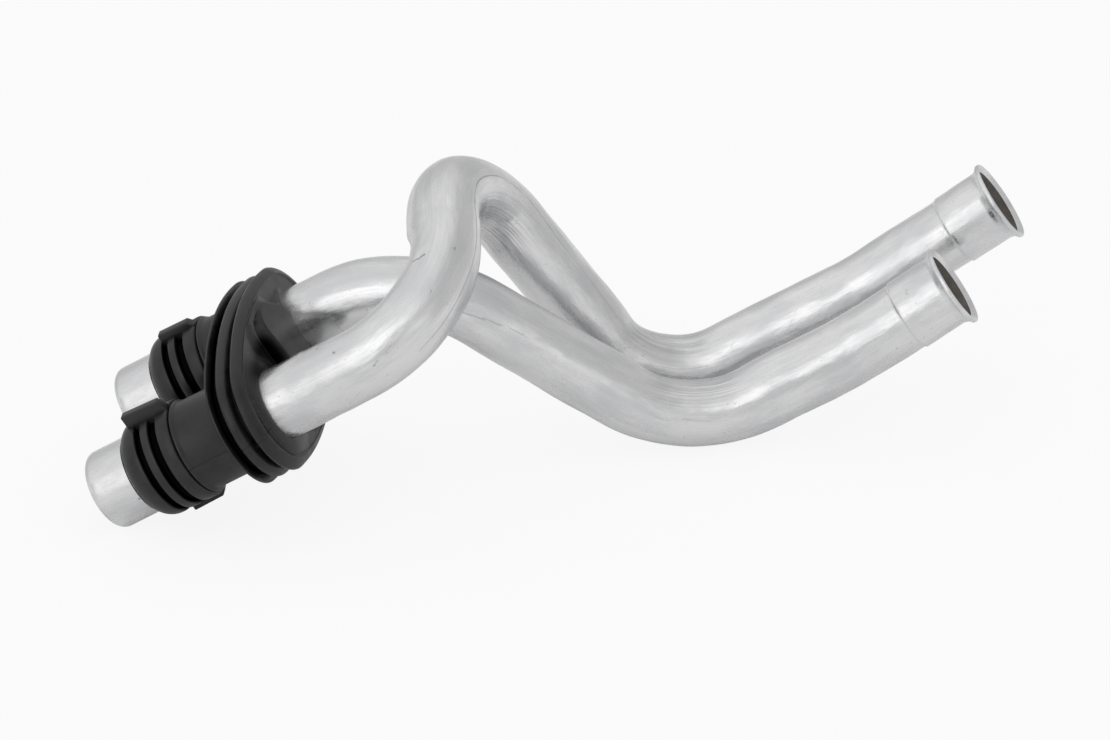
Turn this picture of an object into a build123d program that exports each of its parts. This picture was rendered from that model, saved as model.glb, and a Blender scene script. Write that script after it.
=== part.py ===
from build123d import *
import os

os.makedirs("parts", exist_ok=True)

# All sizes are millimetres. Two bent aluminium heater pipes pass through one rubber
# bulkhead grommet. The grommet's own axes are X from the front pipe to the rear pipe,
# Y towards the upper seal lugs and Z along the pipes, towards their flared ends. Z = 0 is
# where the front pipe leaves the grommet.

# Rest pose: where the grommet's axes are when the part lies on its front stub
# and on the lower bends of both pipes
face_centre = (-66.807, -13.605, 35.541)
across_pipes = (0.09823, 0.9912, 0.08871)
along_pipes = (0.86264, -0.12926, 0.48903)
bulkhead = Plane(origin=face_centre, x_dir=across_pipes, z_dir=along_pipes)

# Tube stock
pipe_od = 18.0
pipe_wall = 1.5
front_bend = 27.0
rear_bend = 36.0
end_bend = 40.0

# Swaged stub at the passenger side of each pipe, with a shallow seat for its seal
stub_swell = 1.2
stub_tip = -52.3
stub_round = 2.2
seat_depth = 0.2
seat_lead = 0.4
swage_start = -31.0
swage_run = 1.6

# Expanded and flared hose end of each pipe, measured back from its mouth
socket_swell = 0.4
socket_length = 14.2
socket_step = 0.6
flare_rise = 1.4
flare_lip = 1.1
flare_run = 2.4
mouth_lead = 0.9

# Bends of the two pipes, as corner points on the grommet's axes
pipe_pitch = 42.0
front_x = -pipe_pitch / 2
rear_x = pipe_pitch / 2
front_route = [
    (front_x, 0.0, stub_tip),
    (front_x, 0.0, 49.0),
    (43.0, 19.0, 49.0),
    (51.0, -74.0, 54.0),
    (66.0, -80.5, 112.0),
    (71.1, -77.5, 155.0),
]
rear_route = [
    (rear_x, 0.0, stub_tip),
    (rear_x, 0.0, 30.0),
    (24.5, -76.0, 66.0),
    (37.5, -81.5, 111.0),
    (41.6, -79.5, 141.1),
]

# Rubber grommet: a stack of ovals round both pipes
fit_gap = 0.05
flange_end_radius = 16.1
flange_half_width = 19.2
flange_face = -0.5
dome_rise = 2.1
dome_run = 5.5
dome_round = 2.4
rim_thick = 2.0
crease_inset = 1.8
crease_width = 0.7
bead_inset = 0.4
bead_thick = 4.4
bead_round = 1.2
panel_inset = 2.6
panel_width = 1.2
lip_inset = 0.3
lip_thick = 0.9
sleeve_wall = 2.6
sleeve_end = -24.9

# Recess between the pipes in the front face, and the raised tongue that the rear pipe
# leaves through, which reaches into the recess
pocket_half_width = 10.2
pocket_half_height = 15.4
pocket_corner = 6.0
pocket_depth = 4.4
tongue_half_length = 22.0
tongue_half_height = 13.0
tongue_end = -5.0
tongue_rise = 1.5
tongue_round = 1.1

# Ribbed seal on each stub, butted against its sleeve, with a tall and a short lug
seal_wall = 2.9
seal_tip = -40.2
seal_taper = 4.4
nose_wall = 0.55
rib_depth = 1.4
rib_gap = 1.5
rib_stations = (-34.1, -30.1)
lug_width = 2.8
lug_end = -26.4
lug_slope = 1.4
tall_lug_rise = 3.0
tall_lug_start = -36.6
short_lug_rise = 1.7
short_lug_start = -35.0


def point_on(plane, point):
    return plane.from_local_coords(Vector(*point))


def bent_pipe(route, bends):
    """One pipe: swaged stub, bent run of one bore, expanded and flared hose end."""
    outer = pipe_od / 2
    inner = outer - pipe_wall
    corners = [point_on(bulkhead, point) for point in route]
    start_dir = (corners[1] - corners[0]).normalized()
    end_dir = (corners[-1] - corners[-2]).normalized()
    run_start = corners[0] + start_dir * (swage_start + swage_run - stub_tip)
    run_end = corners[-1] - end_dir * (socket_length + socket_step)

    stub_axis = Plane(origin=corners[0], x_dir=bulkhead.y_dir, z_dir=start_dir)
    mouth_axis = Plane(origin=corners[-1], x_dir=bulkhead.y_dir.cross(end_dir), z_dir=-end_dir)
    stub_section = Plane(origin=corners[0], x_dir=stub_axis.x_dir, z_dir=stub_axis.y_dir)
    mouth_section = Plane(origin=corners[-1], x_dir=mouth_axis.x_dir, z_dir=mouth_axis.y_dir)

    stub_r = outer + stub_swell
    stub_bore = stub_r - pipe_wall
    stub_mouth = stub_r - stub_round
    seat_r = stub_r - seat_depth
    seat_edge = seal_tip - seat_lead - stub_tip
    swage = swage_start - stub_tip
    socket_r = outer + socket_swell
    socket_bore = socket_r - pipe_wall
    flare_r = socket_r + flare_rise
    mouth_r = socket_bore + mouth_lead

    with BuildPart() as pipe:
        with BuildLine() as path:
            FilletPolyline(run_start, *corners[1:-1], run_end, radius=bends)
        with BuildSketch(Plane(origin=run_start, z_dir=start_dir)):
            Circle(outer)
            Circle(inner, mode=Mode.SUBTRACT)
        sweep(path=path.line)

        # Stub: rounded tip, seat for the seal, then the swage back to the tube's diameter
        with BuildSketch(stub_section):
            with BuildLine():
                TangentArc(
                    (stub_mouth, 0),
                    (stub_r, -stub_round),
                    tangent=(1, 0),
                )
                Polyline(
                    (stub_r, -stub_round),
                    (stub_r, -seat_edge),
                    (seat_r, -seat_edge),
                    (seat_r, -swage),
                    (outer, -swage - swage_run),
                    (inner, -swage - swage_run),
                    (stub_bore, -swage),
                    (stub_bore, -stub_round),
                )
                TangentArc(
                    (stub_bore, -stub_round),
                    (stub_mouth, -pipe_wall),
                    tangent=(0, 1),
                )
                Line((stub_mouth, -pipe_wall), (stub_mouth, 0))
            make_face()
        revolve(axis=Axis(stub_axis.origin, start_dir))

        # Hose end: expanded socket, then the flared lip round the mouth
        with BuildSketch(mouth_section):
            with BuildLine():
                Polyline(
                    (inner, -socket_length - socket_step),
                    (outer, -socket_length - socket_step),
                    (socket_r, -socket_length),
                    (socket_r, -flare_lip - flare_run),
                )
                TangentArc(
                    (socket_r, -flare_lip - flare_run),
                    (flare_r, -flare_lip),
                    tangent=(0, 1),
                )
                Polyline(
                    (flare_r, -flare_lip),
                    (flare_r, 0),
                    (mouth_r, 0),
                    (socket_bore, -flare_run),
                    (socket_bore, -socket_length),
                    (inner, -socket_length - socket_step),
                )
            make_face()
        revolve(axis=Axis(mouth_axis.origin, end_dir))
    return pipe


def oval(inset):
    """Face bounded by an end arc round each pipe and two bulged sides, all tangent."""
    end_radius = flange_end_radius - inset
    half_width = flange_half_width - inset
    half_pitch = pipe_pitch / 2
    side = (half_pitch**2 + half_width**2 - end_radius**2) / (2 * (half_width - end_radius))
    tangent_x = half_pitch * side / (side - end_radius)
    tangent_y = end_radius * (side - half_width) / (side - end_radius)
    with BuildSketch() as outline:
        with BuildLine():
            for turn in (1, -1):
                ThreePointArc(
                    (-turn * tangent_x, turn * tangent_y),
                    (0, turn * half_width),
                    (turn * tangent_x, turn * tangent_y),
                )
                ThreePointArc(
                    (turn * tangent_x, turn * tangent_y),
                    (turn * (half_pitch + end_radius), 0),
                    (turn * tangent_x, -turn * tangent_y),
                )
        make_face()
    return outline.sketch


pipe_axis = Axis(bulkhead.origin, bulkhead.z_dir)
tongue_top = flange_face + tongue_rise
dome_foot = flange_face - dome_rise
flange_back = dome_foot - rim_thick
bead_front = flange_back - crease_width
bead_back = bead_front - bead_thick
panel_back = bead_back - panel_width
lip_back = panel_back - lip_thick
sleeve_r = pipe_od / 2 + fit_gap + sleeve_wall

with BuildPart() as grommet:
    # Rounded bead behind the flange
    with BuildSketch(bulkhead.offset(bead_back)):
        add(oval(bead_inset))
    extrude(amount=bead_thick)
    fillet(grommet.faces().sort_by(pipe_axis)[-1].edges(), bead_round)
    fillet(grommet.faces().sort_by(pipe_axis)[0].edges(), bead_round / 2)
    # Narrow crease, then the front flange with its domed and rounded face
    with BuildSketch(bulkhead.offset(bead_front)):
        add(oval(bead_inset + crease_inset))
    extrude(amount=crease_width + rim_thick)
    with BuildSketch(bulkhead.offset(flange_back)):
        add(oval(0))
    extrude(amount=rim_thick)
    with BuildSketch(bulkhead.offset(dome_foot)):
        add(oval(0))
    with BuildSketch(bulkhead.offset(flange_face)):
        add(oval(dome_run))
    loft(ruled=True)
    dome_edges = grommet.edges().filter_by(GeomType.CIRCLE).filter_by(
        lambda edge: abs((edge.center() - bulkhead.origin).dot(bulkhead.z_dir) - dome_foot) < fit_gap
    )
    fillet(dome_edges, dome_round)
    # Groove that takes the panel, and the thin sealing lip behind it
    with BuildSketch(bulkhead.offset(panel_back)):
        add(oval(panel_inset))
    extrude(amount=panel_width + bead_round)
    with BuildSketch(bulkhead.offset(lip_back)):
        add(oval(lip_inset))
    extrude(amount=lip_thick)
    # Sleeves round the two pipes
    with BuildSketch(bulkhead.offset(sleeve_end)):
        with Locations((front_x, 0), (rear_x, 0)):
            Circle(sleeve_r)
    extrude(amount=panel_back - sleeve_end)
    # Raised tongue on the recess side of the rear pipe
    with BuildSketch(bulkhead.offset(dome_foot)):
        with Locations((rear_x, 0)):
            Ellipse(tongue_half_length, tongue_half_height)
            with Locations((tongue_end, 0)):
                Rectangle(
                    tongue_half_length - tongue_end,
                    2 * tongue_half_height,
                    align=(Align.MIN, Align.CENTER),
                    mode=Mode.SUBTRACT,
                )
    extrude(amount=tongue_top - dome_foot)
    fillet(grommet.faces().sort_by(pipe_axis)[-1].edges(), tongue_round)
    # Recess round the tongue
    with BuildSketch(bulkhead.offset(flange_face - pocket_depth)):
        RectangleRounded(2 * pocket_half_width, 2 * pocket_half_height, pocket_corner)
        with Locations((rear_x, 0)):
            Ellipse(tongue_half_length, tongue_half_height, mode=Mode.SUBTRACT)
    extrude(amount=pocket_depth, mode=Mode.SUBTRACT)
    # Bores that grip the pipes
    with BuildSketch(bulkhead.offset(sleeve_end)):
        with Locations((front_x, 0), (rear_x, 0)):
            Circle(pipe_od / 2 + fit_gap)
    extrude(amount=tongue_top - sleeve_end, mode=Mode.SUBTRACT)


def ribbed_seal(pipe_x, tall_side):
    """Seal on one stub: tapered nose, rib gaps, and a tall lug across from a short one."""
    centre = point_on(bulkhead, (pipe_x, 0, 0))
    section = Plane(origin=centre, x_dir=bulkhead.x_dir, z_dir=-bulkhead.y_dir)
    side_view = Plane(origin=centre, x_dir=bulkhead.z_dir, z_dir=bulkhead.x_dir)
    bore = pipe_od / 2 + fit_gap
    stub_seat = pipe_od / 2 + stub_swell - seat_depth + fit_gap
    seal_r = stub_seat + seal_wall
    nose_r = stub_seat + nose_wall
    swage_end = swage_start + swage_run
    lug_root = (stub_seat + seal_r - rib_depth) / 2
    lugs = (
        (tall_side, seal_r + tall_lug_rise, tall_lug_start),
        (-tall_side, seal_r + short_lug_rise, short_lug_start),
    )

    with BuildPart() as seal:
        with BuildSketch(section):
            with BuildLine():
                Polyline(
                    (bore, sleeve_end),
                    (seal_r, sleeve_end),
                    (seal_r, seal_tip + seal_taper),
                )
                TangentArc(
                    (seal_r, seal_tip + seal_taper),
                    (nose_r, seal_tip),
                    tangent=(0, -1),
                )
                Polyline(
                    (nose_r, seal_tip),
                    (stub_seat, seal_tip),
                    (stub_seat, swage_start),
                    (bore, swage_end),
                    (bore, sleeve_end),
                )
            make_face()
            for station in rib_stations:
                with Locations((seal_r, station)):
                    Rectangle(2 * rib_depth, rib_gap, mode=Mode.SUBTRACT)
        revolve(axis=Axis(centre, bulkhead.z_dir))
        for side, lug_r, lug_start in lugs:
            with BuildSketch(side_view):
                with BuildLine():
                    Polyline(
                        (lug_start, side * lug_root),
                        (lug_start, side * lug_r),
                        (lug_end, side * lug_r),
                        (lug_end + lug_slope, side * seal_r),
                        (lug_end + lug_slope, side * lug_root),
                        close=True,
                    )
                make_face()
            extrude(amount=lug_width / 2, both=True)
    return seal


front_pipe = bent_pipe(front_route, [front_bend, front_bend, front_bend, end_bend])
rear_pipe = bent_pipe(rear_route, [rear_bend, rear_bend, end_bend])
front_seal = ribbed_seal(front_x, 1)
rear_seal = ribbed_seal(rear_x, -1)

front_pipe.part.label = "front_pipe"
rear_pipe.part.label = "rear_pipe"
grommet.part.label = "grommet"
front_seal.part.label = "front_seal"
rear_seal.part.label = "rear_seal"

export_step(front_pipe.part, "parts/front_pipe.step")
export_step(rear_pipe.part, "parts/rear_pipe.step")
export_step(grommet.part, "parts/grommet.step")
export_step(front_seal.part, "parts/front_seal.step")
export_step(rear_seal.part, "parts/rear_seal.step")
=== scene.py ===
import math

import bmesh
import bpy
import numpy as np
from mathutils import Matrix, Vector
from mathutils.geometry import delaunay_2d_cdt


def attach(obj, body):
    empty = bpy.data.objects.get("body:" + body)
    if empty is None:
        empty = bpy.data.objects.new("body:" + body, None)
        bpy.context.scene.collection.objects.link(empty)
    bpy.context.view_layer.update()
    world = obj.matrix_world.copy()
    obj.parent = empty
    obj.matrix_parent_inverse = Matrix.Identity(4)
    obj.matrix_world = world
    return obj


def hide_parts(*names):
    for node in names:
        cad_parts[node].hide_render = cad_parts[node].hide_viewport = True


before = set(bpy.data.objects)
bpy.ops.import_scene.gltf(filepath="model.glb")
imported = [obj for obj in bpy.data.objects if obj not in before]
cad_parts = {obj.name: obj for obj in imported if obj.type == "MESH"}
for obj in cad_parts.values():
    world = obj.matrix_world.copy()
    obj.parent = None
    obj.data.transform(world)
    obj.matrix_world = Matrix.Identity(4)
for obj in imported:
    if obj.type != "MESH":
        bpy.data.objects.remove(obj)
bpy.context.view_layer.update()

MM = 0.001

# Sizes are millimetres on the grommet's own axes, as in the CAD source: X from the front
# pipe to the rear pipe, Y towards the upper lugs, Z along the pipes to their flared ends.

# Rest pose of those axes
face_centre = np.array((-66.807, -13.605, 35.541))
across_pipes = np.array((0.09823, 0.9912, 0.08871))
along_pipes = np.array((0.86264, -0.12926, 0.48903))

# Tube, stub and hose end
pipe_r = 9.0
pipe_wall = 1.5
stub_swell = 1.2
stub_tip = -52.3
stub_round = 2.2
seat_depth = 0.2
seat_lead = 0.4
swage_start = -31.0
swage_run = 1.6
socket_swell = 0.4
socket_length = 14.2
socket_step = 0.6
flare_rise = 1.4
flare_lip = 1.1
flare_run = 2.4
flare_angle = 68.0
flare_share = 0.92

# The flare's lip: distance back from the mouth, and how far below the flare's largest radius
lip_points = [
    (0.8, 0.03), (0.5, 0.0), (0.22, 0.08), (0.05, 0.24), (0.0, 0.45),
    (0.08, 0.7), (0.3, 1.05), (0.6, 1.5), (0.85, 1.85), (1.0, 2.0),
]
# Behind the lip: distance back from the mouth, and how much wider than the socket's bore
flare_inside = [(1.25, 0.86), (2.0, 0.6), (3.2, 0.25), (4.6, 0.04)]

# Unevenness of the bent tubes: length of a wave along, waves round the tube, and size. The
# waves start behind the swage and are full at a distance from the tip. Only wall whose radius
# is close to the pipe's takes them and the dents. A bend below the last value counts as none.
tube_waves = [(31.0, 2, 0.030), (17.0, 3, 0.022), (11.0, 5, 0.013), (7.0, 4, 0.008), (23.0, 1, 0.030)]
waves_full_at = 60.0
plain_within = 0.45
least_bend = 1e-4

# Routes of the two pipes
half_pitch = 21.0
front_route = [
    (-half_pitch, 0.0, stub_tip),
    (-half_pitch, 0.0, 49.0),
    (43.0, 19.0, 49.0),
    (51.0, -74.0, 54.0),
    (66.0, -80.5, 112.0),
    (71.1, -77.5, 155.0),
]
rear_route = [
    (half_pitch, 0.0, stub_tip),
    (half_pitch, 0.0, 30.0),
    (24.5, -76.0, 66.0),
    (37.5, -81.5, 111.0),
    (41.6, -79.5, 141.1),
]
front_bends = [27.0, 27.0, 27.0, 40.0]
rear_bends = [36.0, 36.0, 40.0]

# Bends that the bender squashed, by distance from the stub's tip: start, end, how gently
# it sets in, then how far the inner side, outer side and flanks move in
front_squash = [
    (70.0, 118.0, 14.0, 1.7, 0.2, -0.15),
    (121.0, 173.0, 8.0, 0.6, 0.1, -0.1),
    (211.0, 242.0, 6.0, 0.8, 0.1, -0.2),
]
rear_squash = [
    (58.0, 101.0, 9.0, 0.5, 0.1, -0.1),
    (146.0, 174.0, 8.0, 0.8, 0.6, -0.3),
]

# Dents: distance from the stub's tip, angle, length, width and depth
front_dents = [
    (104.6, 112.0, 1.6, 1.0, 0.16),
    (68.8, 96.0, 1.0, 1.0, 0.12),
    (73.5, 122.0, 0.9, 0.9, 0.10),
    (181.0, 242.0, 9.0, 2.6, 0.14),
]
rear_dents = [
    (97.0, 160.0, 5.0, 1.6, 0.12),
    (108.0, 150.0, 7.0, 1.8, 0.10),
    (190.0, 122.0, 6.0, 3.0, 0.12),
    (211.0, 112.0, 3.0, 4.0, 0.12),
]

# Marks drawn on the metal: from and to, each as distance and angle, then width and strength
front_marks = [
    (88.0, 206.0, 105.0, 202.0, 0.22, 0.34),
    (105.0, 202.0, 120.0, 200.0, 0.24, 0.46),
    (120.0, 200.0, 135.0, 194.0, 0.24, 0.46),
    (135.0, 194.0, 152.0, 195.0, 0.24, 0.46),
    (152.0, 195.0, 181.0, 212.0, 0.20, 0.32),
    (181.0, 212.0, 204.0, 217.0, 0.20, 0.24),
    (103.4, 101.0, 104.4, 112.0, 0.24, 0.60),
    (104.4, 112.0, 105.4, 118.0, 0.26, 0.66),
    (79.8, 172.6, 81.0, 170.4, 0.22, 0.44),
    (82.0, 167.6, 84.8, 165.0, 0.20, 0.36),
    (82.8, 170.6, 84.2, 168.4, 0.18, 0.30),
    (97.2, 157.0, 98.0, 155.2, 0.20, 0.34),
    (108.3, 162.0, 108.6, 161.2, 0.36, 0.45),
    (68.8, 96.0, 69.0, 97.0, 0.42, 0.45),
    (73.5, 122.0, 73.7, 123.0, 0.44, 0.50),
    (11.0, 188.8, 11.3, 188.2, 0.34, 0.50),
]
rear_marks = [
    (94.0, 164.5, 99.5, 160.0, 0.31, 0.28),
    (99.0, 158.0, 104.0, 154.5, 0.26, 0.25),
    (106.0, 151.0, 110.0, 149.5, 0.22, 0.20),
    (139.0, 219.0, 139.6, 218.0, 0.31, 0.28),
    (150.0, 163.0, 154.0, 164.0, 0.28, 0.14),
    (157.0, 158.0, 164.0, 160.0, 0.43, 0.13),
    (163.0, 153.0, 167.0, 154.0, 0.31, 0.12),
    (188.0, 128.0, 190.0, 127.0, 0.31, 0.15),
    (225.9, 110.0, 225.2, 114.5, 0.16, 0.25),
    (225.2, 114.5, 225.6, 119.0, 0.16, 0.25),
]

# Grommet
fit_gap = 0.05
flange_end_radius = 16.1
flange_half_width = 19.2
flange_face = -0.5
dome_drop = 3.1
dome_run = 9.0
dome_foot = -3.4
rim_edge = 2.6
rim_inset = 3.3
face_level = -1.7
flange_under = 2.6
crease = -5.35
crease_inset = 4.2
crease_mouth = 3.3
bead_inset = 0.35
bead_belly = -7.95
bead_back = -9.1
groove_inset = 3.4
panel_back = -10.9
lip_inset = 0.05
lip_back = -11.8
sleeve_r = 11.65
sleeve_end = -24.9

# Grommet's face: it rises to the front pipe, and has a recess between the pipes with a
# softly raised border. From the rear pipe's side a crowned tongue reaches into the recess.
boss_rise = 1.5
boss_run = 6.0
border_level = -1.0
border_run = (0.5, 5.0)
border_bead_at = 0.5
border_bead_width = 0.6
border_bead_rise = 0.3
border_bead_ends = (10.0, 15.0)
pocket_half_width = 7.4
pocket_half_height = 15.5
pocket_corner = 5.5
pocket_depth = 4.2
pocket_wall = (-1.2, 0.0)
pocket_middle = (7.5, 12.5)
pocket_end_share = 0.4
tongue_left = -2.4
tongue_half_height = 15.2
tongue_taper = 5.0
tongue_narrows = (6.0, 14.0)
tongue_corner = 5.5
tongue_top = 1.0
tongue_crown = 90.0
tongue_wall = (-0.5, 1.0)
tongue_ends = (half_pitch - 8.0, half_pitch + 3.0)

# Painted shade: in the recess, on the tongue, and in the valley between border and front pipe
recess_shade_edges = ((-0.6, 0.4), (-1.0, 0.1))
tongue_shade = 0.15
valley_shade = 0.85
valley_bottom = (-2.0, 5.0)
valley_top = (10.0, 15.5)
valley_left = (-30.0, -20.0)
valley_right = (-7.6, -5.0)
valley_border = (-0.5, 0.2)

# How many points of the flange's section belong to its rim, and the rim's width as a share of
# its inset along the sides and at the ends
rim_points = 4
rim_share_sides = 0.8
rim_share_ends = 1.3

# The crease keeps a share of its depth and shade on the upper side. crease_turns says where
# the outline passes from the upper to the lower side.
crease_half = 0.45
crease_depth_above = 0.55
crease_shade_above = 0.3
crease_turns = (-0.25, 0.45)

# How far the net reaches that the flat sides are meshed with
net_half_length = 40.0
net_half_height = 22.0

# Seals
seat_r = pipe_r + stub_swell - seat_depth
seal_wall = 2.9
seal_nose_wall = 0.55
seal_r = seat_r + fit_gap + seal_wall
seal_nose_r = seat_r + fit_gap + seal_nose_wall
seal_tip = -40.2
seal_taper = 4.4
rib_depth = 1.9
rib_grooves = ((-28.6, -30.85), (-33.1, -34.85))
lug_width = 2.8
lug_end = -26.4
lug_slope = 1.4
lug_bevel = 0.35

# Radius at the lug's start and end, and where it starts
tall_lug = (16.2, 15.7, -36.6)
short_lug = (14.7, 14.5, -35.0)

along_pipes /= np.linalg.norm(along_pipes)
across_pipes -= across_pipes @ along_pipes * along_pipes
across_pipes /= np.linalg.norm(across_pipes)
lug_axis = np.cross(along_pipes, across_pipes)


def place(points):
    """Points on the grommet's axes, in mm, to the part's frame, in metres."""
    p = np.asarray(points, float)
    world = face_centre + p[:, 0:1] * across_pipes + p[:, 1:2] * lug_axis + p[:, 2:3] * along_pipes
    return world * MM


def smooth(a, b, x):
    """0 below a and 1 above b, with a smooth step between them."""
    t = np.clip((np.asarray(x, float) - a) / (b - a), 0.0, 1.0)
    return t * t * (3 - 2 * t)


def fade(a, b, x):
    """1 below a and 0 above b."""
    return 1 - smooth(a, b, x)


def new_mesh(name, verts, faces, uvs=None, sharp=35.0, painted_shade=None):
    """Object with smooth shading up to an angle, and a painted shade attribute if given."""
    mesh = bpy.data.meshes.new(name)
    mesh.from_pydata([tuple(v) for v in verts], [], [tuple(int(i) for i in f) for f in faces])
    if uvs is not None:
        layer = mesh.uv_layers.new(name="UVMap")
        layer.data.foreach_set("uv", np.asarray(uvs, np.float32).ravel())
    bm = bmesh.new()
    bm.from_mesh(mesh)
    bmesh.ops.recalc_face_normals(bm, faces=bm.faces)
    bm.to_mesh(mesh)
    bm.free()
    mesh.shade_smooth()
    mesh.set_sharp_from_angle(angle=math.radians(sharp))
    if painted_shade is not None:
        # Painted shade, one value per vertex, read by the rubber material
        shade = mesh.attributes.new("painted_shade", "FLOAT", "POINT")
        shade.data.foreach_set("value", np.asarray(painted_shade, np.float32))
    obj = bpy.data.objects.new(name, mesh)
    bpy.context.scene.collection.objects.link(obj)
    return obj


def ring(i, size):
    """Vertex numbers of the i-th ring when all rings have one size."""
    return range(i * size, (i + 1) * size)


def bridge(a, b):
    """Quads between two rings of the same number of vertices."""
    size = len(a)
    return [(a[k], a[(k + 1) % size], b[(k + 1) % size], b[k]) for k in range(size)]


def circle(cx, radius, count):
    """Points (x, y) round a pipe's axis at x = cx."""
    angles = np.linspace(0, 2 * math.pi, count, endpoint=False)
    return [(cx + radius * math.cos(a), radius * math.sin(a)) for a in angles]


# Bent pipes


def centreline(route, bends, step=0.25):
    """Dense points of straight runs and tangent arcs."""
    corners = [np.array(p, float) for p in route]
    points = []
    here = corners[0]
    for corner, before, after, radius in zip(corners[1:-1], corners[:-2], corners[2:], bends):
        back = (before - corner) / np.linalg.norm(before - corner)
        on = (after - corner) / np.linalg.norm(after - corner)
        turn = math.acos(float(np.clip(back @ on, -1, 1)))
        reach = radius / math.tan(turn / 2)
        start, end = corner + back * reach, corner + on * reach
        count = max(2, int(np.linalg.norm(start - here) / step))
        points += [here + (start - here) * k / count for k in range(count)]
        middle = corner + (back + on) / np.linalg.norm(back + on) * radius / math.sin(turn / 2)
        u, w = start - middle, end - middle
        sweep = math.acos(float(np.clip(u @ w / radius**2, -1, 1)))
        count = max(2, int(sweep * radius / step))
        for k in range(count):
            f = k / count
            arm = math.sin((1 - f) * sweep) * u + math.sin(f * sweep) * w
            points.append(middle + arm / math.sin(sweep))
        here = end
    count = max(2, int(np.linalg.norm(corners[-1] - here) / step))
    points += [here + (corners[-1] - here) * k / count for k in range(count + 1)]
    return np.array(points)


def blur(values, reach):
    """Running average along a line, with held ends."""
    kernel = np.exp(-0.5 * (np.arange(-3 * reach, 3 * reach + 1) / reach) ** 2)
    kernel /= kernel.sum()
    pad = len(kernel) // 2
    held = np.concatenate([np.repeat(values[:1], pad, 0), values, np.repeat(values[-1:], pad, 0)])
    return np.stack([np.convolve(held[:, k], kernel, "valid") for k in range(values.shape[1])], 1)


class Line:
    """A pipe's centreline: place, direction, frame and bend at any distance along it."""

    def __init__(self, route, bends):
        self.points = centreline(route, bends)
        steps = np.linalg.norm(np.diff(self.points, axis=0), axis=1)
        self.distances = np.concatenate([[0], np.cumsum(steps)])
        self.length = self.distances[-1]
        ahead = np.gradient(self.points, self.distances, axis=0)
        self.ahead = ahead / np.linalg.norm(ahead, axis=1)[:, None]
        self.bend = blur(np.gradient(self.ahead, self.distances, axis=0), 16)
        side = np.array((1.0, 0.0, 0.0))
        sides = []
        for direction in self.ahead:
            side = side - side @ direction * direction
            side = side / np.linalg.norm(side)
            sides.append(side)
        self.side = np.array(sides)
        self.over = np.cross(self.ahead, self.side)

    def at(self, distance):
        """Point, two directions across the tube and its bend, at a distance from the tip."""
        i = np.clip(np.searchsorted(self.distances, distance), 0, len(self.distances) - 1)
        point = self.points[i] + self.ahead[i] * (distance - self.distances[i])
        return point, self.side[i], self.over[i], self.bend[i]


stub_r = pipe_r + stub_swell
socket_r = pipe_r + socket_swell
pipe_bore = pipe_r - pipe_wall
stub_bore = stub_r - pipe_wall
socket_bore = socket_r - pipe_wall
swage = swage_start - stub_tip
seat = seal_tip - seat_lead - stub_tip


def stub_outside():
    """Distance from the tip and radius: rounded tip, seat for the seal, then the swage."""
    tip = [
        (stub_round * (1 - math.sin(a)), stub_r - stub_round * (1 - math.cos(a)))
        for a in np.linspace(math.pi / 2, 0, 9)
    ]
    tip += [(s, stub_r) for s in np.arange(3.0, seat - 0.3, 0.8)]
    tip += [(seat - 0.1, stub_r), (seat + 0.1, seat_r)]
    tip += [(s, seat_r) for s in np.arange(seat + 1.0, swage, 1.0)]
    tip += [(swage + swage_run * f, seat_r + (pipe_r - seat_r) * f) for f in np.linspace(0, 1, 4)]
    return tip


def mouth_outside():
    """Distance back from the mouth and radius: step, socket and flared lip, to its inside."""
    out = [
        (socket_length + socket_step * (1 - f), pipe_r + socket_swell * smooth(0, 1, f))
        for f in np.linspace(0, 1, 5)
    ]
    flare_start = flare_lip + flare_run
    out += [(d, socket_r) for d in np.arange(socket_length - 0.7, flare_start + 0.4, -0.7)]
    full = math.radians(flare_angle)
    for a in np.linspace(0, full, 9):
        back = flare_start - flare_run * math.sin(a) / math.sin(full)
        rise = (1 - math.cos(a)) / (1 - math.cos(full))
        out.append((back, socket_r + flare_share * flare_rise * rise))
    out += [(d, socket_r + flare_rise - drop) for d, drop in lip_points]
    return out


def mouth_inside():
    """Distance back from the mouth and radius, from the flare to the plain bore."""
    points = [(d, socket_bore + wider) for d, wider in flare_inside]
    points += [(8.0, socket_bore), (socket_length - 0.5, socket_bore)]
    points += [(socket_length + 0.4, pipe_bore), (18.0, pipe_bore)]
    return points


def stub_inside():
    """Distance from the tip and radius, from the swage to the rounded tip."""
    points = [(swage + swage_run, pipe_bore), (swage, stub_bore), (12.0, stub_bore)]
    points += [(stub_round, stub_bore), (1.7, stub_bore - 0.2), (1.1, stub_bore - 0.55)]
    return points


def wobble(s, angles, seed):
    """Small unevenness of a bent tube, in mm, that makes its highlights wander."""
    random = np.random.default_rng(seed)
    total = np.zeros_like(angles)
    for length, turns, size in tube_waves:
        for way in (1, -1):
            phase = random.uniform(0, 2 * math.pi)
            total = total + size * np.sin(2 * math.pi * s / length + way * turns * angles + phase)
    return total


def squashed(s, squash, towards):
    """How far the wall moves in where a bend is squashed, and how hard it was worked."""
    inward = np.zeros_like(towards)
    pull = np.zeros_like(towards)
    inner_side = np.clip(towards, 0, 1)
    outer_side = np.clip(-towards, 0, 1)
    for start, end, gently, inner, outer, flanks in squash:
        share = smooth(start - gently, start + gently, s) - smooth(end - gently, end + gently, s)
        inward += share * (inner * inner_side**2 + outer * outer_side**2 + flanks * (1 - towards**2))
        pull += share * inner_side
    return inward, pull


def dented(s, angles, r, dents):
    """How far dents push the wall in at a distance from the tip."""
    inward = np.zeros_like(angles)
    for centre, angle, long, wide, depth in dents:
        near = abs(s - centre)
        if near < 3 * long:
            off = (angles - math.radians(angle) + math.pi) % (2 * math.pi) - math.pi
            inward += depth * math.exp(-((near / long) ** 2)) * np.exp(-((off * r / wide) ** 2))
    return inward


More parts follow.
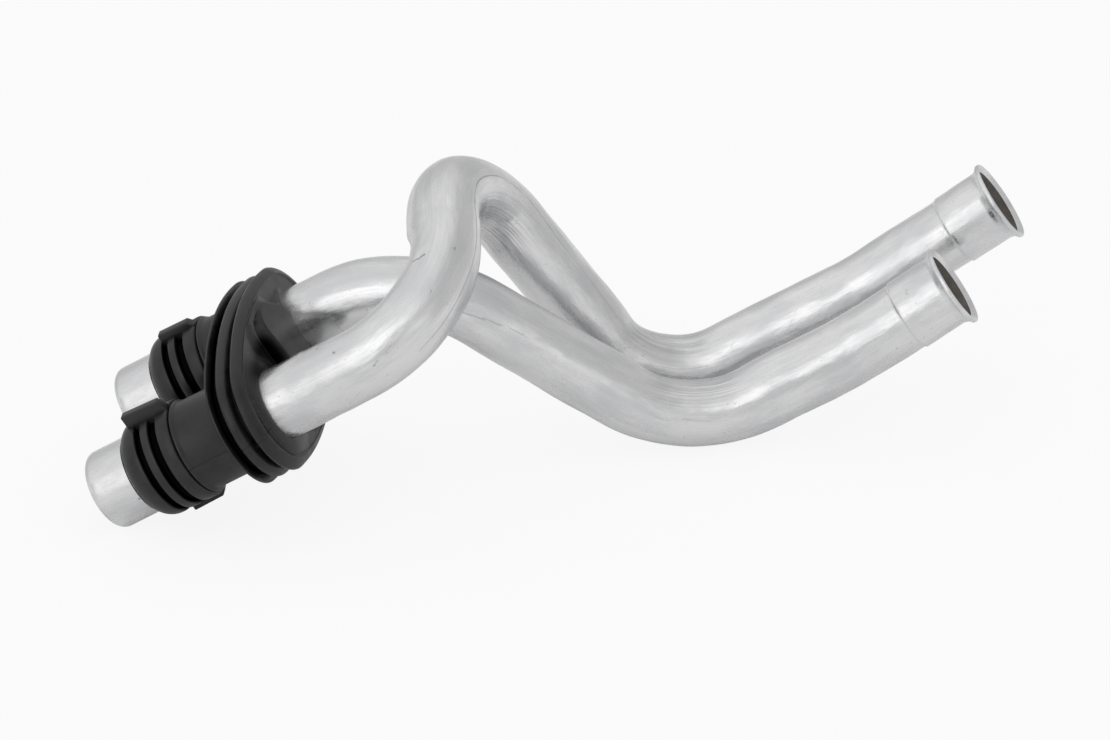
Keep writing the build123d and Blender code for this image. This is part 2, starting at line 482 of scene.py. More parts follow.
def pipe_mesh(name, line, squash, dents, seed, segments=120, pitch=0.75):
    """One closed tube: outside from stub to mouth, inside back again."""
    length = line.length
    outside = stub_outside()
    run = np.arange(outside[-1][0] + pitch, length - socket_length - socket_step - 0.3, pitch)
    outside += [(s, pipe_r) for s in run]
    outside += [(length - d, r) for d, r in mouth_outside()]
    inside = [(length - d, r) for d, r in mouth_inside()]
    inside += [(s, pipe_bore) for s in np.arange(length - 21.0, swage + 4.0, -3.0)]
    inside += stub_inside()
    angles = np.linspace(0, 2 * math.pi, segments, endpoint=False)
    rings, along, strain = [], [], []
    for i, (s, r) in enumerate(outside + inside):
        centre, side, over, bend = line.at(s)
        out = np.outer(np.cos(angles), side) + np.outer(np.sin(angles), over)
        strength = np.linalg.norm(bend)
        towards = out @ (bend / strength) if strength > least_bend else np.zeros(segments)
        inward, pull = squashed(s, squash, towards)
        radius = r - inward
        on_plain_tube = i < len(outside) and abs(r - pipe_r) < plain_within
        if on_plain_tube:
            radius += smooth(swage + swage_run, waves_full_at, s) * wobble(s, angles, seed)
            radius -= dented(s, angles, r, dents)
        rings.append(centre + out * radius[:, None])
        along.append(s)
        strain.append(pull)
    count = len(rings)
    verts = place(np.array(rings).reshape(-1, 3))
    faces, uvs, hidden = [], [], []
    for i in range(count):
        j = (i + 1) % count
        faces += bridge(ring(i, segments), ring(j, segments))
        # The inside, from the mouth's lip on, takes the second material: the bore's painted shade
        hidden += [int(len(outside) - 1 <= i < count - 1)] * segments
        for k in range(segments):
            va, vb = k / segments, (k + 1) / segments
            uvs += [(along[i] * MM, va), (along[i] * MM, vb), (along[j] * MM, vb), (along[j] * MM, va)]
    tube = new_mesh(name, verts, faces, uvs)
    tube.data.polygons.foreach_set("material_index", np.array(hidden, np.int32))
    pull = tube.data.attributes.new("strain", "FLOAT", "POINT")
    pull.data.foreach_set("value", np.concatenate(strain).astype(np.float32))
    return tube


front_line = Line(front_route, front_bends)
rear_line = Line(rear_route, rear_bends)
front_tube = pipe_mesh("front_tube", front_line, front_squash, front_dents, seed=4)
rear_tube = pipe_mesh("rear_tube", rear_line, rear_squash, rear_dents, seed=9)


# Grommet


def oval_stations():
    """Points of the flange's outline and their outward normals."""
    side = half_pitch**2 + flange_half_width**2 - flange_end_radius**2
    side /= 2 * (flange_half_width - flange_end_radius)
    spread = math.asin(half_pitch / (side - flange_end_radius))
    pts, nrm = [], []

    def arc(cx, cy, radius, a0, a1, count):
        for a in np.linspace(a0, a1, count, endpoint=False):
            pts.append((cx + radius * math.cos(a), cy + radius * math.sin(a)))
            nrm.append((math.cos(a), math.sin(a)))

    q = math.pi / 2
    arc(0, flange_half_width - side, side, q + spread, q - spread, 92)
    arc(half_pitch, 0, flange_end_radius, q - spread, spread - q, 76)
    arc(0, side - flange_half_width, side, spread - q, -q - spread, 92)
    arc(-half_pitch, 0, flange_end_radius, 3 * q - spread, q + spread, 76)
    return np.array(pts), np.array(nrm)


outline, outward = oval_stations()


def quarter_round(inset0, z0, inset1, z1, first, count=6):
    """Quarter round between two points, leaving the first along z or along the inset."""
    out = []
    for a in np.linspace(0, math.pi / 2, count):
        if first == "z":
            out.append((inset0 + (inset1 - inset0) * (1 - math.cos(a)), z0 + (z1 - z0) * math.sin(a)))
        else:
            out.append((inset0 + (inset1 - inset0) * math.sin(a), z0 + (z1 - z0) * (1 - math.cos(a))))
    return out


def dome(inset):
    """Height of the flange's rounded rim at a distance in from its outline."""
    left = max(0.0, 1 - inset / dome_run)
    return flange_face - dome_drop * (1 - math.sqrt(1 - left * left))


def recess_gap(x, y):
    """Distance out from the recess's border, negative inside it."""
    qx = abs(x) - (pocket_half_width - pocket_corner)
    qy = abs(y) - (pocket_half_height - pocket_corner)
    return math.hypot(max(qx, 0), max(qy, 0)) + min(max(qx, qy), 0) - pocket_corner


def tongue_gap(x, y):
    """Distance out from the tongue's edge, negative on the tongue."""
    half_height = tongue_half_height - tongue_taper * smooth(*tongue_narrows, x)
    qx = tongue_left + tongue_corner - x
    qy = abs(y) - (half_height - tongue_corner)
    return math.hypot(max(qx, 0), max(qy, 0)) + min(max(qx, qy), 0) - tongue_corner


def face_parts(x, y):
    """Height of the grommet's face and its painted shade, from 0 to 1."""
    from_pipe = math.hypot(x + half_pitch, y)
    edge = recess_gap(x, y)
    gap = tongue_gap(x, y)
    middle = fade(*pocket_middle, abs(y))

    height = face_level + boss_rise * fade(pipe_r, pipe_r + boss_run, from_pipe)
    height += (border_level - height) * fade(*border_run, edge)
    bead = math.exp(-(((edge - border_bead_at) / border_bead_width) ** 2))
    height += border_bead_rise * bead * fade(*border_bead_ends, abs(y))
    bottom = border_level - pocket_depth * (pocket_end_share + (1 - pocket_end_share) * middle)
    height += (bottom - height) * fade(*pocket_wall, edge)
    on_tongue = fade(*tongue_ends, x) * fade(*tongue_wall, gap)
    height += (tongue_top - y * y / (2 * tongue_crown) - height) * on_tongue

    # Painted shade in the recess, in the valley beside the front pipe and on the tongue
    off_tongue, inside_border = recess_shade_edges
    in_recess = middle * smooth(*off_tongue, gap) * fade(*inside_border, edge)
    upper = smooth(*valley_bottom, y) * fade(*valley_top, y)
    beside_pipe = smooth(*valley_left, x) * fade(*valley_right, x)
    valley = valley_shade * upper * beside_pipe * smooth(*valley_border, edge)
    return height, max(in_recess, valley, tongue_shade * on_tongue)


def flat_back(x, y):
    """Height and shade of the lip's back."""
    return lip_back, 0.0


def flange_profile():
    """Section of the flange from its face round to the lip's back, as inset, height and painted shade.
    """
    points = [(rim_inset, face_level, 0.0), (rim_edge + 0.35, face_level + 0.02, 0.0)]
    points += [(rim_edge + 0.1, dome(rim_edge) - 0.06, 0.0)]
    points += [(rim_edge - 0.15, dome(rim_edge - 0.15) - 0.01, 0.0)]
    points += [(inset, dome(inset), 0.0) for inset in (2.1, 1.6, 1.1, 0.7, 0.4, 0.18, 0.04)]
    under = quarter_round(0.0, dome_foot, flange_under, crease + 0.5, "z", 9)
    points += [(inset, z, 0.0) for inset, z in under]

    # Painted shade in the crease
    points += [(crease_mouth, crease + 0.25, 0.5), (crease_inset, crease + 0.06, 1.0)]
    points += [(crease_inset, crease - 0.06, 1.0), (crease_mouth, crease - 0.25, 0.5)]

    bead = quarter_round(flange_under, crease - 0.45, bead_inset, bead_belly, "inset", 9)
    bead += quarter_round(bead_inset, bead_back + 1.2, 1.7, bead_back, "z", 8)
    points += [(inset, z, 0.0) for inset, z in bead]

    # Painted shade in the panel groove
    mouth = groove_inset - 0.1
    points += [(2.0, bead_back - 0.02, 0.6), (mouth, bead_back - 0.05, 1.0)]
    points += [(groove_inset, bead_back - 0.25, 1.0), (groove_inset, panel_back + 0.25, 1.0)]
    points += [(mouth, panel_back + 0.05, 1.0), (2.2, panel_back, 0.8), (1.1, panel_back, 0.0)]

    points += [(0.5, panel_back - 0.04, 0.0), (0.15, panel_back - 0.2, 0.0)]
    points += [(lip_inset, panel_back - 0.45, 0.0), (lip_inset, lip_back + 0.3, 0.0)]
    points += [(0.3, lip_back + 0.08, 0.0), (1.0, lip_back, 0.0), (3.0, lip_back, 0.0)]
    return points


def sleeve_profile():
    """Section of a sleeve from the lip's back to its free end, as radius and height."""
    points = [(0.2, lip_back - 0.2), (0.0, lip_back - 0.7), (0.0, -18.0), (0.0, sleeve_end + 1.6)]
    points += [(0.15, sleeve_end + 1.2), (0.5, sleeve_end + 0.85), (0.7, sleeve_end + 0.5)]
    points += [(0.65, sleeve_end + 0.2), (0.4, sleeve_end + 0.03), (0.0, sleeve_end)]
    return [(sleeve_r + over, z) for over, z in points] + [(pipe_r + fit_gap, sleeve_end)]


class Skin:
    """Vertices, faces and painted shades of one closed surface, added part by part."""

    def __init__(self):
        self.verts, self.faces, self.shades = [], [], []

    def add_circle(self, cx, radius, z, count):
        first = len(self.verts)
        self.verts += [(x, y, z) for x, y in circle(cx, radius, count)]
        self.shades += [0.0] * count
        return range(first, first + count)

    def patch(self, edge, first, holes, surface, spacing, margin):
        """Fills a ring that starts at vertex first with a fine net that leaves round holes.

        surface gives height and shade at x, y. Returns the vertex numbers round each hole.
        """
        size = len(edge)
        pts = [Vector((float(x), float(y))) for x, y in edge]
        lines = [(k, (k + 1) % size) for k in range(size)]
        starts = []
        for cx, radius, count in holes:
            start = len(pts)
            starts.append((start, count))
            pts += [Vector(point) for point in circle(cx, radius, count)]
            lines += [(start + k, start + (k + 1) % count) for k in range(count)]
        across = np.arange(-net_half_length, net_half_length + 0.01, spacing)
        rows = np.arange(-net_half_height, net_half_height + 0.01, spacing * math.sqrt(0.75))
        for row, y in enumerate(rows):
            for x in across + (spacing / 2 if row % 2 else 0):
                if any(math.hypot(x - cx, y) < radius + margin for cx, radius, _ in holes):
                    continue
                gap = edge - (x, y)
                nearest = int((gap**2).sum(1).argmin())
                if gap[nearest] @ outward[nearest] >= margin:
                    pts.append(Vector((x, y)))
        inside_only, tolerance = 1, 1e-5
        got, _, tris, origin, _, _ = delaunay_2d_cdt(pts, lines, [], inside_only, tolerance)
        number = {}
        for g, source in enumerate(origin):
            on_ring = [k for k in source if k < size]
            if on_ring:
                number[g] = first + on_ring[0]
            else:
                number[g] = len(self.verts)
                x, y = got[g]
                z, shade = surface(x, y)
                self.verts.append((x, y, z))
                self.shades.append(shade)
        for tri in tris:
            middle_x = sum(got[g].x for g in tri) / 3
            middle_y = sum(got[g].y for g in tri) / 3
            if not any(math.hypot(middle_x - cx, middle_y) < radius for cx, radius, _ in holes):
                self.faces.append(tuple(number[g] for g in tri))
        placed = {k: number[g] for g, source in enumerate(origin) for k in source}
        return [[placed[start + k] for k in range(count)] for start, count in starts]


def grommet_mesh():
    """The grommet as one skin: its section round the outline, flat sides, sleeves and bores."""
    skin = Skin()
    profile = flange_profile()
    size = len(outline)
    rim_width = rim_share_sides + (rim_share_ends - rim_share_sides) * outward[:, 0:1] ** 2
    below = smooth(*crease_turns, -outward[:, 1])
    for step, (inset, z, shade) in enumerate(profile):
        share = rim_width if step < rim_points else 1.0
        shades = [shade] * size
        # On the upper side the crease is shallower and its painted shade lighter
        if abs(z - crease) < crease_half:
            share = crease_depth_above + (1 - crease_depth_above) * below[:, None]
            shades = list(shade * (crease_shade_above + (1 - crease_shade_above) * below))
        skin.verts += [(x, y, z) for x, y in outline - outward * inset * share]
        skin.shades += shades
    for i in range(len(profile) - 1):
        skin.faces += bridge(ring(i, size), ring(i + 1, size))

    around = 120
    bores = [(cx, pipe_r + fit_gap, around) for cx in (-half_pitch, half_pitch)]
    sleeves = [(cx, sleeve_r + 0.55, around) for cx in (-half_pitch, half_pitch)]
    face_edge = outline - outward * rim_inset * rim_width
    back_edge = outline - outward * profile[-1][0]
    tops = skin.patch(face_edge, 0, bores, face_parts, spacing=0.36, margin=0.3)
    last_ring = (len(profile) - 1) * size
    backs = skin.patch(back_edge, last_ring, sleeves, flat_back, spacing=1.6, margin=0.9)
    for (cx, _, _), top, before in zip(bores, tops, backs):
        for radius, z in sleeve_profile():
            fresh = skin.add_circle(cx, radius, z, around)
            skin.faces += bridge(before, fresh)
            before = fresh
        skin.faces += bridge(before, top)
    return new_mesh("grommet_skin", place(skin.verts), skin.faces, sharp=40.0, painted_shade=skin.shades)


grommet_skin = grommet_mesh()


# Ribbed seals


def seal_profile():
    """Round section of a seal, as z, radius and painted shade, once round from the sleeve's side."""
    start = seal_tip + seal_taper
    points = [(sleeve_end - 0.05, pipe_r + fit_gap, 1.0), (sleeve_end - 0.05, seal_r - 1.3, 1.0)]
    points += [(sleeve_end - 0.05, seal_r - 0.85, 0.6), (sleeve_end - 0.15, seal_r - 0.35, 0.0)]
    points += [(sleeve_end - 0.5, seal_r, 0.0), (-27.0, seal_r, 0.0)]
    floor = seal_r - rib_depth
    # Each groove: rounded edge, wall down, floor, wall up, rounded edge; walls and floor get painted
    # shade
    for a, b in rib_grooves:
        points += [(a + 0.5, seal_r, 0.0), (a + 0.15, seal_r - 0.08, 0.0), (a, seal_r - 0.35, 0.0)]
        points += [(a - 0.03, seal_r - 0.8, 0.9), (a - 0.12, floor + 0.1, 1.0), (a - 0.3, floor, 1.0)]
        points += [(b + 0.3, floor, 1.0), (b + 0.12, floor + 0.1, 1.0), (b + 0.03, seal_r - 0.8, 0.9)]
        points += [(b, seal_r - 0.3, 0.0), (b - 0.1, seal_r - 0.06, 0.0), (b - 0.4, seal_r, 0.0)]
    drop = seal_r - seal_nose_r
    radius = (seal_taper**2 + drop**2) / (2 * drop)
    for a in np.linspace(0.0, math.asin(seal_taper / radius), 10):
        points.append((start - radius * math.sin(a), seal_r - radius * (1 - math.cos(a)), 0.0))
    points += [(seal_tip, seal_nose_r - 0.2, 0.3), (seal_tip + 0.1, seat_r + fit_gap, 1.0)]
    points += [(swage_start, seat_r + fit_gap, 1.0), (swage_start + swage_run, pipe_r + fit_gap, 1.0)]
    return points


def lug_piece(name, pipe_x, side, lug):
    """Flat lug on a seal, with rounded edges and a sloped end."""
    start_r, end_r, start = lug
    foot = seat_r + 1.0
    back = lug_end + lug_slope
    section = [(start, foot), (start, start_r), (lug_end, end_r), (back, seal_r - 0.05), (back, foot)]
    bm = bmesh.new()
    ends = []
    for x in (-lug_width / 2, lug_width / 2):
        ends.append([bm.verts.new((pipe_x + x, side * y, z)) for z, y in section])
    for corners in (ends[0], ends[1][::-1], *bridge(ends[1], ends[0])):
        bm.faces.new(corners)
    bmesh.ops.bevel(
        bm, geom=bm.edges[:], offset=lug_bevel, segments=3, affect="EDGES", profile=0.5
    )
    bm.verts.index_update()
    verts = [tuple(v.co) for v in bm.verts]
    faces = [[v.index for v in face.verts] for face in bm.faces]
    bm.free()
    return new_mesh(name, place(verts), faces, sharp=50.0)


def seal_piece(name, pipe_x, tall_side):
    """Ring of one seal and its two lugs, the taller one up (1) or down (-1)."""
    segments = 144
    profile = seal_profile()
    verts, faces, shades = [], [], []
    for i, (z, radius, shade) in enumerate(profile):
        verts += [(x, y, z) for x, y in circle(pipe_x, radius, segments)]
        shades += [shade] * segments
        faces += bridge(ring(i, segments), ring((i + 1) % len(profile), segments))
    body = new_mesh(name + "_ring", place(verts), faces, sharp=50.0, painted_shade=shades)
    lugs = [
        lug_piece(name + "_tall_lug", pipe_x, tall_side, tall_lug),
        lug_piece(name + "_short_lug", pipe_x, -tall_side, short_lug),
    ]
    return body, lugs


front_ring, front_lugs = seal_piece("front", -half_pitch, 1)
rear_ring, rear_lugs = seal_piece("rear", half_pitch, -1)


# Materials


class Tree:
    """Short calls that add nodes to a material or world and return their output sockets.

    Each value is a number, a tuple or the output socket of another node.
    """

    def __init__(self, owner):
        self.owner = owner
        owner.use_nodes = True
        self.nodes = owner.node_tree.nodes
        self.links = owner.node_tree.links
        self.shader = self.nodes.get("Principled BSDF")

    def fill(self, socket, value):
        if isinstance(value, bpy.types.NodeSocket):
            self.links.new(value, socket)
        else:
            socket.default_value = value

    def math(self, operation, a, b=0.0, clamp=False):
        made = self.nodes.new("ShaderNodeMath")
        made.operation = operation
        made.use_clamp = clamp
        self.fill(made.inputs[0], a)
        self.fill(made.inputs[1], b)
        return made.outputs[0]

    def vector(self, operation, a, b=(0, 0, 0), scale=None):
        made = self.nodes.new("ShaderNodeVectorMath")
        made.operation = operation
        self.fill(made.inputs[0], a)
        if scale is None:
            self.fill(made.inputs[1], b)
        else:
            self.fill(made.inputs["Scale"], scale)
        single = operation in ("DOT_PRODUCT", "DISTANCE", "LENGTH")
        return made.outputs["Value"] if single else made.outputs["Vector"]

    def join(self, x, y, z=0.0):
        made = self.nodes.new("ShaderNodeCombineXYZ")
        for socket, value in zip(made.inputs, (x, y, z)):
            self.fill(socket, value)
        return made.outputs[0]

    def noise(self, where, scale=1.0, detail=3.0, rough=0.5):
        made = self.nodes.new("ShaderNodeTexNoise")
        self.fill(made.inputs["Vector"], where)
        made.inputs["Scale"].default_value = scale
        made.inputs["Detail"].default_value = detail
        made.inputs["Roughness"].default_value = rough
        return made.outputs[0]

    def remap(self, value, low, high, to_low=0.0, to_high=1.0):
        made = self.nodes.new("ShaderNodeMapRange")
        made.interpolation_type = "SMOOTHSTEP"
        for socket, item in zip(made.inputs, (value, low, high, to_low, to_high)):
            self.fill(socket, item)
        return made.outputs[0]

    def blend(self, share, first, second):
        made = self.nodes.new("ShaderNodeMix")
        made.data_type = "RGBA"
        self.fill(made.inputs["Factor"], share)
        self.fill(made.inputs[6], (*first, 1) if isinstance(first, tuple) else first)
        self.fill(made.inputs[7], (*second, 1) if isinstance(second, tuple) else second)
        return made.outputs[2]

    def bump(self, height, distance, before=None):
        made = self.nodes.new("ShaderNodeBump")
        made.inputs["Distance"].default_value = distance * MM
        self.fill(made.inputs["Height"], height)
        if before is not None:
            self.fill(made.inputs["Normal"], before)
        return made.outputs[0]


def drawn_marks(tree, where, marks):
    """How strongly the drawn marks show at a place, given as distance and arc in mm."""
    total = 0.0
    for s0, a0, s1, a1, width, strength in marks:
        start = (s0, math.radians(a0) * pipe_r, 0.0)
        run = (s1 - s0, math.radians(a1 - a0) * pipe_r, 0.0)
        size = run[0] ** 2 + run[1] ** 2
        off = tree.vector("SUBTRACT", where, start)
        share = tree.math("MULTIPLY", tree.vector("DOT_PRODUCT", off, run), 1 / size, clamp=True)
        gap = tree.vector("DISTANCE", off, tree.vector("SCALE", run, scale=share))
        shown = tree.remap(gap, width * 0.25, width, strength, 0.0)
        total = tree.math("MAXIMUM", total, shown)
    return total


def aluminium(name, marks):
    """Drawn and bent tube: draw lines, handling scratches, dull patches and single marks."""
    tree = Tree(bpy.data.materials.new(name))

    def stretched(where, along_scale, across_scale, detail, rough=0.5):
        """Noise that is drawn out along the tube."""
        scaled = tree.vector("MULTIPLY", where, (along_scale, across_scale, across_scale))
        return tree.noise(scaled, detail=detail, rough=rough)

    # Place on the tube: distance along in mm, and a circle across, so that no seam shows
    uv = tree.nodes.new("ShaderNodeUVMap")
    uv.uv_map = "UVMap"
    parts = tree.nodes.new("ShaderNodeSeparateXYZ")
    tree.links.new(uv.outputs[0], parts.inputs[0])
    along = tree.math("MULTIPLY", parts.outputs[0], 1 / MM)
    angle = tree.math("MULTIPLY", parts.outputs[1], 2 * math.pi)
    ring_x = tree.math("MULTIPLY", tree.math("COSINE", angle), pipe_r)
    ring_y = tree.math("MULTIPLY", tree.math("SINE", angle), pipe_r)
    skin = tree.join(along, ring_x, ring_y)

    streaks = stretched(skin, 0.030, 2.6, detail=4.0, rough=0.65)
    fine = stretched(skin, 0.012, 7.5, detail=2.0)
    patches = stretched(skin, 0.055, 0.16, detail=5.0, rough=0.6)
    ripple = stretched(skin, 0.10, 0.24, detail=2.0)
    grain = tree.noise(skin, scale=3.4, detail=3.0, rough=0.7)
    specks = tree.remap(tree.noise(skin, scale=0.85, detail=2.5, rough=0.55), 0.735, 0.79)

    # Scratches run slantwise and keep to the duller patches
    rub = tree.vector("ADD", skin, tree.join(streaks, grain, 0.0))
    turned = tree.nodes.new("ShaderNodeVectorRotate")
    turned.rotation_type = "EULER_XYZ"
    turned.inputs["Rotation"].default_value = (0.2, 0.5, 0.65)
    tree.links.new(rub, turned.inputs["Vector"])
    scratches = tree.remap(stretched(turned.outputs[0], 0.10, 1.9, detail=1.5), 0.685, 0.75)
    scratches = tree.math("MULTIPLY", scratches, tree.remap(patches, 0.42, 0.62))

    # Stretch lines where a bend was squashed
    strain = tree.nodes.new("ShaderNodeAttribute")
    strain.attribute_name = "strain"
    pulled = tree.remap(strain.outputs["Fac"], 0.15, 0.85)
    wrinkles = tree.remap(stretched(skin, 0.02, 1.9, detail=1.0), 0.36, 0.64)
    wrinkles = tree.math("MULTIPLY", wrinkles, pulled)

    # Single marks, with slightly shaky edges
    flat = tree.join(along, tree.math("MULTIPLY", angle, pipe_r), 0.0)
    shaky = tree.vector("SUBTRACT", tree.join(grain, streaks), (0.5, 0.5, 0.0))
    shaky = tree.vector("SCALE", shaky, scale=1.3)
    drawn = drawn_marks(tree, tree.vector("ADD", flat, shaky), marks)

    colour = tree.blend(tree.remap(patches, 0.32, 0.66), (0.74, 0.745, 0.755), (0.88, 0.88, 0.885))
    for share, tint in (
        (tree.remap(streaks, 0.3, 0.75, 0.16, 0.0), (0.42, 0.42, 0.43)),
        (tree.math("MULTIPLY", wrinkles, 0.34), (0.30, 0.30, 0.31)),
        (tree.math("MULTIPLY", scratches, 0.30), (0.36, 0.36, 0.37)),
        (tree.math("MULTIPLY", specks, 0.32), (0.22, 0.22, 0.22)),
        (drawn, (0.13, 0.13, 0.135)),
    ):
        colour = tree.blend(share, colour, tint)

    rough = tree.remap(patches, 0.34, 0.68, 0.31, 0.21)
    rough = tree.math("ADD", rough, tree.math("MULTIPLY", scratches, 0.12))
    rough = tree.math("ADD", rough, tree.math("MULTIPLY", drawn, 0.15))

    normal = None
    for height, distance in (
        (streaks, 0.018), (ripple, 0.32), (fine, 0.006), (grain, 0.018),
        (wrinkles, -0.05), (scratches, -0.02), (drawn, -0.08),
    ):
        normal = tree.bump(height, distance, normal)

    tree.fill(tree.shader.inputs["Base Color"], colour)
    tree.fill(tree.shader.inputs["Roughness"], rough)
    tree.fill(tree.shader.inputs["Normal"], normal)
    tree.shader.inputs["Metallic"].default_value = 1.0
    return tree.owner


def object_place(tree):
    """Place on the object, in mm."""
    coord = tree.nodes.new("ShaderNodeTexCoord")
    return tree.vector("SCALE", coord.outputs["Object"], scale=1 / MM)


def bore_painted_shade(name):
    """Inside of the tubes, painted dark for the shade within them, with uneven brownish stains."""
    tree = Tree(bpy.data.materials.new(name))
    where = object_place(tree)
    stain = tree.noise(where, scale=0.35, detail=4.0)
    colour = tree.blend(stain, (0.10, 0.09, 0.082), (0.17, 0.155, 0.142))
    tree.fill(tree.shader.inputs["Base Color"], colour)
    tree.fill(tree.shader.inputs["Roughness"], tree.remap(stain, 0.3, 0.7, 0.75, 0.55))
    tree.fill(tree.shader.inputs["Normal"], tree.bump(tree.noise(where, scale=2.5), 0.03))
    return tree.owner


def rubber(name, shade, parting=False):
    """Moulded black rubber: fine grain, dusty patches, paler worn edges, and painted shade in hollows
    and on shaded faces.

    The grommet also has a fine parting line across its two ends.
    """
    tree = Tree(bpy.data.materials.new(name))
    where = object_place(tree)

    def tinted(times):
        return tuple(times * c for c in shade)

    dust = tree.noise(where, scale=0.16, detail=5.0, rough=0.6)
    grain = tree.noise(where, scale=4.5, detail=3.0, rough=0.6)
    pebble = tree.noise(where, scale=1.3, detail=2.0)
    edges = tree.nodes.new("ShaderNodeNewGeometry").outputs["Pointiness"]
    worn = tree.math("MULTIPLY", tree.remap(edges, 0.515, 0.60), 0.45)
    grainy = tree.math("MULTIPLY", tree.remap(grain, 0.55, 0.72), 0.25)
    # Painted shade stored on the mesh: it darkens colour and specular in grooves, creases, the recess,
    # the valley and on the tongue
    painted_shade = tree.nodes.new("ShaderNodeAttribute")
    painted_shade.attribute_name = "painted_shade"
    unshaded_share = tree.remap(painted_shade.outputs["Fac"], 0.0, 0.9, 1.0, 0.05)

    colour = tree.blend(tree.remap(dust, 0.30, 0.70), tinted(0.4), tinted(1.6))
    colour = tree.blend(grainy, colour, tinted(2.2))
    colour = tree.blend(worn, colour, tinted(3.0))
    # Painted shade darkens the colour
    colour = tree.vector("SCALE", colour, scale=unshaded_share)
    rough = tree.remap(dust, 0.30, 0.72, 0.29, 0.44)
    normal = tree.bump(grain, 0.020)
    normal = tree.bump(pebble, 0.030, normal)
    if parting:
        own = tree.vector("SUBTRACT", where, tuple(face_centre))
        off = tree.math("ABSOLUTE", tree.vector("DOT_PRODUCT", own, tuple(lug_axis)))
        end = tree.math("ABSOLUTE", tree.vector("DOT_PRODUCT", own, tuple(across_pipes)))
        on_line = tree.remap(off, 0.05, 0.22, 1.0, 0.0)
        line = tree.math("MULTIPLY", on_line, tree.remap(end, 30.2, 30.8))
        normal = tree.bump(line, -0.15, normal)
        colour = tree.blend(tree.math("MULTIPLY", line, 0.85), colour, (0.002, 0.002, 0.002))
    tree.fill(tree.shader.inputs["Base Color"], colour)
    tree.fill(tree.shader.inputs["Roughness"], rough)
    tree.fill(tree.shader.inputs["Normal"], normal)
    # Painted shade also dims the specular
    tree.fill(tree.shader.inputs["Specular IOR Level"], tree.math("MULTIPLY", unshaded_share, 0.5))
    return tree.owner


front_metal = aluminium("front_aluminium", front_marks)
rear_metal = aluminium("rear_aluminium", rear_marks)
bore_shade_material = bore_painted_shade("bore_painted_shade")
grommet_rubber = rubber("grommet_rubber", (0.0098, 0.0096, 0.0104), parting=True)
seal_rubber = rubber("seal_rubber", (0.0102, 0.0102, 0.0110))

for obj, node, mats, slot in (
    (front_tube, "front_pipe", (front_metal, bore_shade_material), "pipe"),
    (rear_tube, "rear_pipe", (rear_metal, bore_shade_material), "pipe"),
    (grommet_skin, "grommet", (grommet_rubber,), "grommet"),
    (front_ring, "front_seal", (seal_rubber,), "seal"),
    (rear_ring, "rear_seal", (seal_rubber,), "seal"),
):
    for mat in mats:
        obj.data.materials.append(mat)
    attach(obj, "root")
    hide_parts(node)
for lug in front_lugs + rear_lugs:
    lug.data.materials.append(seal_rubber)
    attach(lug, "root")


# Floor, light and camera

scene = bpy.context.scene
scene.view_settings.view_transform = "Standard"

# Floor: metres from the middle to an edge, and the share of plain white in it, as the camera
# sees it and as the metal mirrors it. The rest of it is a matt surface that takes shadows.
floor_half = 6.0
floor_shown_white = 0.88
floor_in_gloss = 0.16

# The studio is a white tent of one plain level. Three soft areas add to it: overhead, a panel
# beside the camera and a card on the right.
tent_level = 0.57
overhead_level = 0.26
panel_level = 0.50
card_level = 0.26

# Where they lie. A turn is in degrees from the horizon behind the camera, over the top, to
# the one behind the part. A side is 1 on the right and -1 on the left. Four values fade in
# and out again, two fade one way.
overhead_turn = (20.0, 60.0, 115.0, 170.0)
overhead_side = (0.12, 0.60)
panel_lower_edge = (22.0, 29.0)
panel_slope = 55.0
panel_upper_edge = (40.0, 60.0)
panel_side = (-0.90, -0.62, 0.05, 0.32)
card_turn = (0.0, 8.0, 20.0, 34.0)
card_side = (0.18, 0.35, 0.68, 0.85)

floor_mesh = bpy.data.meshes.new("floor")
corner_signs = ((-1, -1), (1, -1), (1, 1), (-1, 1))
floor_corners = [(x * floor_half, y * floor_half, 0) for x, y in corner_signs]
floor_mesh.from_pydata(floor_corners, [], [(0, 1, 2, 3)])
floor = bpy.data.objects.new("floor", floor_mesh)
scene.collection.objects.link(floor)
floor_tree = Tree(bpy.data.materials.new("floor"))
floor_tree.shader.inputs["Base Color"].default_value = (0.9, 0.9, 0.9, 1)
floor_tree.shader.inputs["Roughness"].default_value = 0.9
glow = floor_tree.nodes.new("ShaderNodeEmission")
glow.inputs["Color"].default_value = (1, 1, 1, 1)
path = floor_tree.nodes.new("ShaderNodeLightPath")
shown = floor_tree.math("MULTIPLY", path.outputs["Is Camera Ray"], floor_shown_white)
glossy = floor_tree.math("MULTIPLY", path.outputs["Is Glossy Ray"], floor_in_gloss)
mix = floor_tree.nodes.new("ShaderNodeMixShader")
floor_tree.links.new(floor_tree.math("MAXIMUM", shown, glossy), mix.inputs[0])
floor_tree.links.new(floor_tree.shader.outputs[0], mix.inputs[1])
floor_tree.links.new(glow.outputs[0], mix.inputs[2])
floor_tree.links.new(mix.outputs[0], floor_tree.nodes["Material Output"].inputs["Surface"])
floor_mesh.materials.append(floor_tree.owner)

world = bpy.data.worlds.new("studio")
scene.world = world
tent = Tree(world)
coord = tent.nodes.new("ShaderNodeTexCoord")
way = tent.nodes.new("ShaderNodeSeparateXYZ")
tent.links.new(coord.outputs["Generated"], way.inputs[0])
side = way.outputs[0]
turn = tent.math("ARCTAN2", way.outputs[2], tent.math("MULTIPLY", way.outputs[1], -1.0))
turn = tent.math("MULTIPLY", turn, 180 / math.pi)
# The panel's lower edge slopes down to the left
lifted = tent.math("SUBTRACT", turn, tent.math("MULTIPLY", side, panel_slope))


def product(first, second):
    return tent.math("MULTIPLY", first, second)


def falling(value, high, low):
    """1 below the first limit and 0 above the second."""
    return tent.remap(value, high, low, 1.0, 0.0)


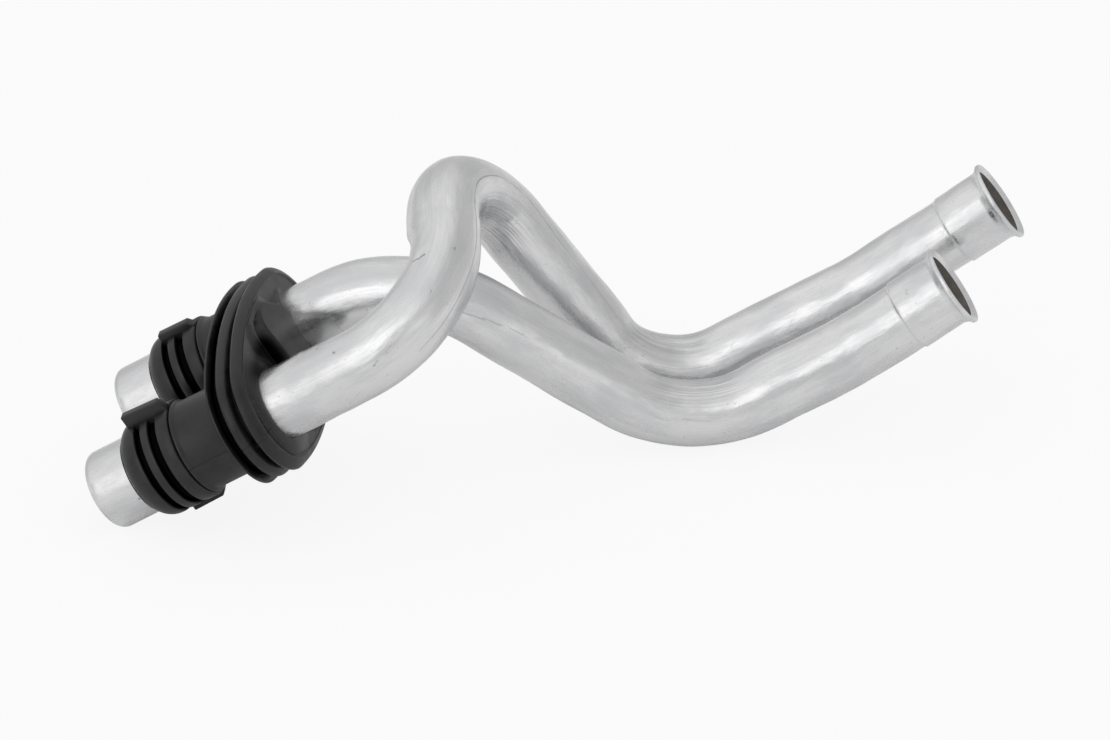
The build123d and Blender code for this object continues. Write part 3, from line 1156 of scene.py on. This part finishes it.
def between(value, limits):
    """0 outside the outer limits and 1 within the inner ones."""
    return product(tent.remap(value, *limits[:2]), falling(value, *limits[2:]))


over = product(between(turn, overhead_turn), falling(side, *overhead_side))
panel = product(tent.remap(lifted, *panel_lower_edge), falling(turn, *panel_upper_edge))
panel = product(panel, between(side, panel_side))
card = product(between(turn, card_turn), between(side, card_side))
bright = tent_level
for share, added in ((over, overhead_level), (panel, panel_level), (card, card_level)):
    bright = tent.math("ADD", product(share, added), bright)

# The camera itself sees plain white
rays = tent.nodes.new("ShaderNodeLightPath")
seen = tent.math("MAXIMUM", rays.outputs["Is Camera Ray"], rays.outputs["Is Transmission Ray"])
back = tent.nodes["Background"]
back.inputs["Color"].default_value = (1, 1, 1, 1)
level = tent.nodes.new("ShaderNodeMapRange")
level.inputs["To Max"].default_value = 1.0
tent.fill(level.inputs["Value"], seen)
tent.fill(level.inputs["To Min"], bright)
tent.fill(back.inputs["Strength"], level.outputs[0])


def lamp(name, at, target, size, power):
    """Rectangular area light, aimed at a point."""
    data = bpy.data.lights.new(name, "AREA")
    data.shape = "RECTANGLE"
    data.size, data.size_y = size
    data.energy = power
    obj = bpy.data.objects.new(name, data)
    obj.location = at
    aim = Vector(target) - Vector(at)
    obj.rotation_euler = aim.to_track_quat("-Z", "Y").to_euler()
    scene.collection.objects.link(obj)


lamp("panel", at=(-0.50, -0.82, 0.56), target=(0, 0, 0.03), size=(0.8, 0.6), power=0.16)

# Camera of the perspective fit: place, direction back from the part, and up
camera_place = Vector((0.0158495, -1.1158653, 0.5321389))
camera_back = Vector((0.01491879, -0.91015764, 0.41399344)).normalized()
camera_up = Vector((0.03277722, 0.41426212, 0.90956721))
camera_right = camera_up.cross(camera_back).normalized()
camera_up = camera_back.cross(camera_right)
camera_data = bpy.data.cameras.new("camera")
camera_data.sensor_width = 36.0
camera_data.lens = 158.9
camera = bpy.data.objects.new("camera", camera_data)
spin = Matrix((camera_right, camera_up, camera_back)).transposed().to_4x4()
camera.matrix_world = Matrix.Translation(camera_place) @ spin
scene.collection.objects.link(camera)
scene.camera = camera
